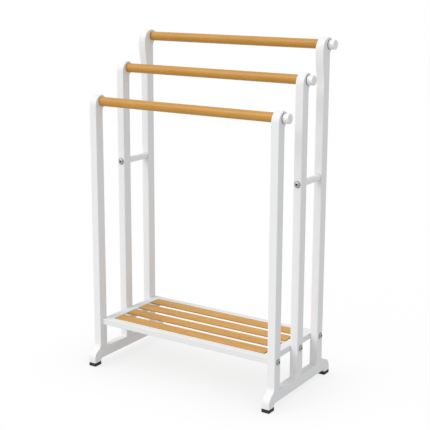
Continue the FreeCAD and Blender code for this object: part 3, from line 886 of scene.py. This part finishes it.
class TOWELSTAND_OT_bolts(bpy.types.Operator):
    """Makes the domed bolt heads with their hexagon sockets"""
    bl_idname = "towelstand.bolts"
    bl_label = "Bolts"

    # Start of the piece's name, end of the CAD nodes' names, and which way each side's heads face
    KINDS = (
        ("shelf", "_shelf_bolts", (-X, X)),
        ("spacer", "_spacer_bolt", (-Y, -Y)),
    )

    def execute(self, context):
        sizes = context.scene.towel_stand.bolts
        shine = chrome("Chrome", sizes)
        for kind, ending, ways in self.KINDS:
            nodes = [side + ending for side in SIDES]
            bolts = [(box, way) for node, way in zip(nodes, ways) for box in solid_boxes(node)]
            seats = [self.seat(box, way, sizes.crown) for box, way in bolts]
            directions = [way for _, way in bolts]
            low, high = bolts[-1][0]
            head = turned("head", self.rings((high.z - low.z) / 2, sizes), sizes.sides)
            values = {"Head": head, "Seed": sizes.turn_seed, "Material": shine}
            heads = bolt_heads().build(kind + "_bolt_heads", seats, values, directions)
            bpy.data.objects.remove(head)
            dress(heads, shine, "chrome", "stand", *nodes)
        return {"FINISHED"}

    @staticmethod
    def seat(box, way, crown):
        """Where a head begins: on the bolt's axis, one crown in from the end that faces out."""
        low, high = box
        axis = max(range(3), key=lambda index: abs(way[index]))
        seat = middle_of(box)
        seat[axis] = low[axis] + crown if way[axis] < 0 else high[axis] - crown
        return seat

    @staticmethod
    def rings(radius, sizes):
        """Rings of a head from its middle underneath, over the rim and the dome, into the
        socket. The third number is painted shading, from 0, dark chrome in shade under the rim
        and in the socket, to 1, bright chrome lit on top of the dome."""
        apothem = sizes.hexagon / 2

        def hexagon(angle):
            return apothem / math.cos(angle % SIXTH_TURN - SIXTH_TURN / 2)

        rise = sizes.crown - sizes.rim
        ball = (radius ** 2 + rise ** 2) / (2 * rise)
        mouth = hexagon(0) * 1.06
        ease = 0.3 * MILLIMETRE
        lip = 0.25 * MILLIMETRE
        drill_point = 0.6 * MILLIMETRE
        # painted shade under the head and up its rim
        rings = [(0, 0, 0), (radius - ease, 0, 0), (radius, ease, 0.2), (radius, sizes.rim, 0.35)]
        steps = 10
        start = math.asin(radius / ball)
        end = math.asin(mouth / ball)
        for step in range(1, steps + 1):
            turn = start + (end - start) * step / steps
            height = sizes.crown - ball + ball * math.cos(turn)
            # painted light: the dome gets brighter towards its top
            shade = min(0.9, 0.5 + 0.6 * step / steps)
            rings.append((ball * math.sin(turn), height, shade))
        # painted shade at the socket's mouth and inside it
        rings.append((hexagon, height - lip, 0.3))
        rings.append((hexagon, height - sizes.socket_depth, 0.0))
        rings.append((0, height - sizes.socket_depth - drill_point, 0.0))
        return rings


class TOWELSTAND_OT_knobs(bpy.types.Operator):
    """Makes the three hand knobs and finishes their washers and the cover caps"""
    bl_idname = "towelstand.knobs"
    bl_label = "Knobs"

    # Share of a knob's radius and of its dish's depth, from the edge of the dish to its middle
    DISH = ((0.62, 0.4), (0.3, 1), (0, 1))

    def execute(self, context):
        settings = context.scene.towel_stand.knobs
        plastic = moulded(
            "Knob plastic", settings.colour, roughness=0.4,
            grain=0.35 * MILLIMETRE, depth=0.01 * MILLIMETRE)
        for tier in TIERS:
            low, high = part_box(tier + "_knob")
            rings = self.rings((high.z - low.z) / 2, high.x - low.x, settings)
            centre = middle_of((low, high))
            centre.x = low.x
            place = Matrix.Translation(centre) @ Matrix.Rotation(math.radians(90), 4, "Y")
            knob = turned(tier + "_hand_knob", rings, settings.sides, place)
            dress(knob, plastic, "white_plastic", tier + "_knob_turn", tier + "_knob")
        paint(plastic, *[tier + "_cover_cap" for tier in TIERS])
        # The washers' dark grey is painted shade for the dark ring at each knob's foot
        nylon = moulded(
            "Washer nylon", settings.washer_shadow_grey, roughness=0.6,
            grain=0.4 * MILLIMETRE, depth=0.01 * MILLIMETRE)
        paint(nylon, *[tier + "_knob_washer" for tier in TIERS])
        return {"FINISHED"}

    def rings(self, radius, length, settings):
        """Rings of a knob from the middle of its foot, over both rims, into its dish."""
        rings = [(0, 0)]
        rings += quarter(radius - settings.foot, settings.foot, settings.foot, -90, 0)
        rings += quarter(radius - settings.rim, length - settings.rim, settings.rim, 0, 90)
        rings += [(radius * part, length - settings.dish * depth) for part, depth in self.DISH]
        return rings


class TOWELSTAND_OT_pads(bpy.types.Operator):
    """Finishes the rubber pads and the fixings that hardly show"""
    bl_idname = "towelstand.pads"
    bl_label = "Pads and fixings"

    def execute(self, context):
        rubber = moulded(
            "Pad rubber", RUBBER, roughness=0.75,
            grain=0.5 * MILLIMETRE, depth=0.04 * MILLIMETRE, fade=1.35)
        paint(rubber, *[side + "_" + end + "_pad" for side in SIDES for end in ("front", "rear")])
        zinc = metal("Zinc plate", ZINC, roughness=0.38)
        paint(zinc, "rail_screws", "rail_studs", "slat_screws", "ledge_screws", "pad_screws")
        brass = metal("Brass", BRASS, roughness=0.35)
        paint(brass, "left_shelf_inserts", "right_shelf_inserts", "spacer_inserts")
        beech = raw_wood("Beech dowel")
        paint(beech, "left_post_dowels", "right_post_dowels", "shelf_frame_dowels")
        return {"FINISHED"}


class TOWELSTAND_OT_stage(bpy.types.Operator):
    """Makes the floor, the light and the camera"""
    bl_idname = "towelstand.stage"
    bl_label = "Stage"

    def execute(self, context):
        settings = context.scene.towel_stand.stage
        self.floor(settings)
        self.light(context, settings)
        self.camera(context, settings)
        context.scene.view_settings.view_transform = "Standard"
        return {"FINISHED"}

    @staticmethod
    def floor(settings):
        """A pale floor that shows lighter than it lights the stand, with painted shadow close
        around it.
        """
        mesh = bmesh.new()
        bmesh.ops.create_grid(mesh, x_segments=1, y_segments=1, size=settings.floor_size / 2)
        floor = new_object("floor", mesh)
        finish = Finish("Floor", roughness=0.9, specular_ior_level=0.0)
        clouds = finish.noise(finish.place, scale=1.5, detail=2.0)
        clouded = scaled(settings.floor_colour, 0.995)
        seen = background_rays(finish)
        shown = finish.mix(clouds, clouded, settings.floor_colour)
        finish.feed(base_color=finish.mix(seen, scaled(WHITE, settings.bounce), shown))
        # Painted shadow: ambient occlusion darkens the floor's seen glow close under the stand
        near = finish.add(
            "ShaderNodeAmbientOcclusion", {"samples": 8}, {"Distance": settings.contact_reach},
            out="AO")
        shaded = finish.mix(near, scaled(WHITE, 1 - settings.contact), WHITE)
        glow = between(seen, settings.bounce, 1)
        white = finish.add("ShaderNodeEmission", None, {"Color": shaded, "Strength": glow})
        lit = Value(finish, finish.surface.outputs[0])
        share = between(seen, settings.evenness, settings.lifted)
        mixed = finish.add("ShaderNodeMixShader", None, [share, lit, white])
        finish.tree.links.new(mixed.socket, finish.output.inputs["Surface"])
        floor.data.materials.append(finish.material)

    @staticmethod
    def light(context, settings):
        """An even sky, seen as plain white, and one soft sun."""
        world = bpy.data.worlds.new("Studio")
        context.scene.world = world
        world.use_nodes = True
        graph = Graph(world.node_tree)
        graph.tree.nodes.clear()
        seen = background_rays(graph)
        strength = between(seen, settings.sky_strength, 1)
        colour = graph.mix(seen, settings.sky_colour, WHITE)
        sky = graph.add("ShaderNodeBackground", None, {"Color": colour, "Strength": strength})
        output = graph.add("ShaderNodeOutputWorld", out=None)
        graph.tree.links.new(sky.socket, output.inputs["Surface"])

        sun = bpy.data.lights.new("key", "SUN")
        sun.energy = settings.key_strength
        sun.color = settings.key_colour
        sun.angle = settings.key_spread
        lamp = bpy.data.objects.new("key", sun)
        context.scene.collection.objects.link(lamp)
        towards_light = Vector(settings.key_direction)
        lamp.rotation_euler = towards_light.to_track_quat("Z", "Y").to_euler()

    @staticmethod
    def camera(context, settings):
        """A camera from its place, turn, focal length and optical axis."""
        data = bpy.data.cameras.new("camera")
        pixels = settings.frame_pixels
        axis_x, axis_y = settings.axis_pixel
        data.sensor_width = settings.sensor_width
        data.lens = settings.focal_pixels / pixels * settings.sensor_width
        data.shift_x = (pixels / 2 - axis_x) / pixels
        data.shift_y = (axis_y - pixels / 2) / pixels
        camera = bpy.data.objects.new("camera", data)
        context.scene.collection.objects.link(camera)
        left, down, roll = settings.camera_turn
        turn = Matrix.Rotation(left, 4, "Z") @ Matrix.Rotation(math.radians(90) - down, 4, "X")
        camera.matrix_world = (
            Matrix.Translation(settings.camera_place) @ turn @ Matrix.Rotation(roll, 4, "Z"))
        context.scene.camera = camera


class TOWELSTAND_PT_sidebar(bpy.types.Panel):
    """Lists the pieces of the towel stand and their settings"""
    bl_idname = "TOWELSTAND_PT_sidebar"
    bl_label = "Towel stand"
    bl_space_type = "VIEW_3D"
    bl_region_type = "UI"
    bl_category = "Towel stand"

    def draw(self, context):
        settings = context.scene.towel_stand
        for operator, groups in PIECES:
            box = self.layout.box()
            box.operator(operator.bl_idname)
            for group in [getattr(settings, name) for name in groups]:
                for name in group.bl_rna.properties.keys():
                    if name not in ("rna_type", "name"):
                        box.prop(group, name)


# Each operator, with the groups of settings that the panel shows under it
PIECES = (
    (TOWELSTAND_OT_side_frames, ("lacquer",)),
    (TOWELSTAND_OT_rails, ("bars", "bamboo")),
    (TOWELSTAND_OT_shelf, ("slats",)),
    (TOWELSTAND_OT_bolts, ("bolts",)),
    (TOWELSTAND_OT_knobs, ("knobs",)),
    (TOWELSTAND_OT_pads, ()),
    (TOWELSTAND_OT_stage, ("stage",)),
)
CLASSES = (
    LacquerSettings, BambooSettings, BarSettings, SlatSettings, BoltSettings, KnobSettings,
    StageSettings, TowelStandSettings, *[operator for operator, _ in PIECES],
    TOWELSTAND_PT_sidebar,
)


def register():
    for item in CLASSES:
        bpy.utils.register_class(item)
    bpy.types.Scene.towel_stand = bpy.props.PointerProperty(
        name="Towel stand", description="Sizes and colours", type=TowelStandSettings)


def unregister():
    del bpy.types.Scene.towel_stand
    for item in reversed(CLASSES):
        bpy.utils.unregister_class(item)


def main():
    register()
    for operator, _ in PIECES:
        group, name = operator.bl_idname.split(".")
        getattr(getattr(bpy.ops, group), name)()


if __name__ == "__main__":
    main()
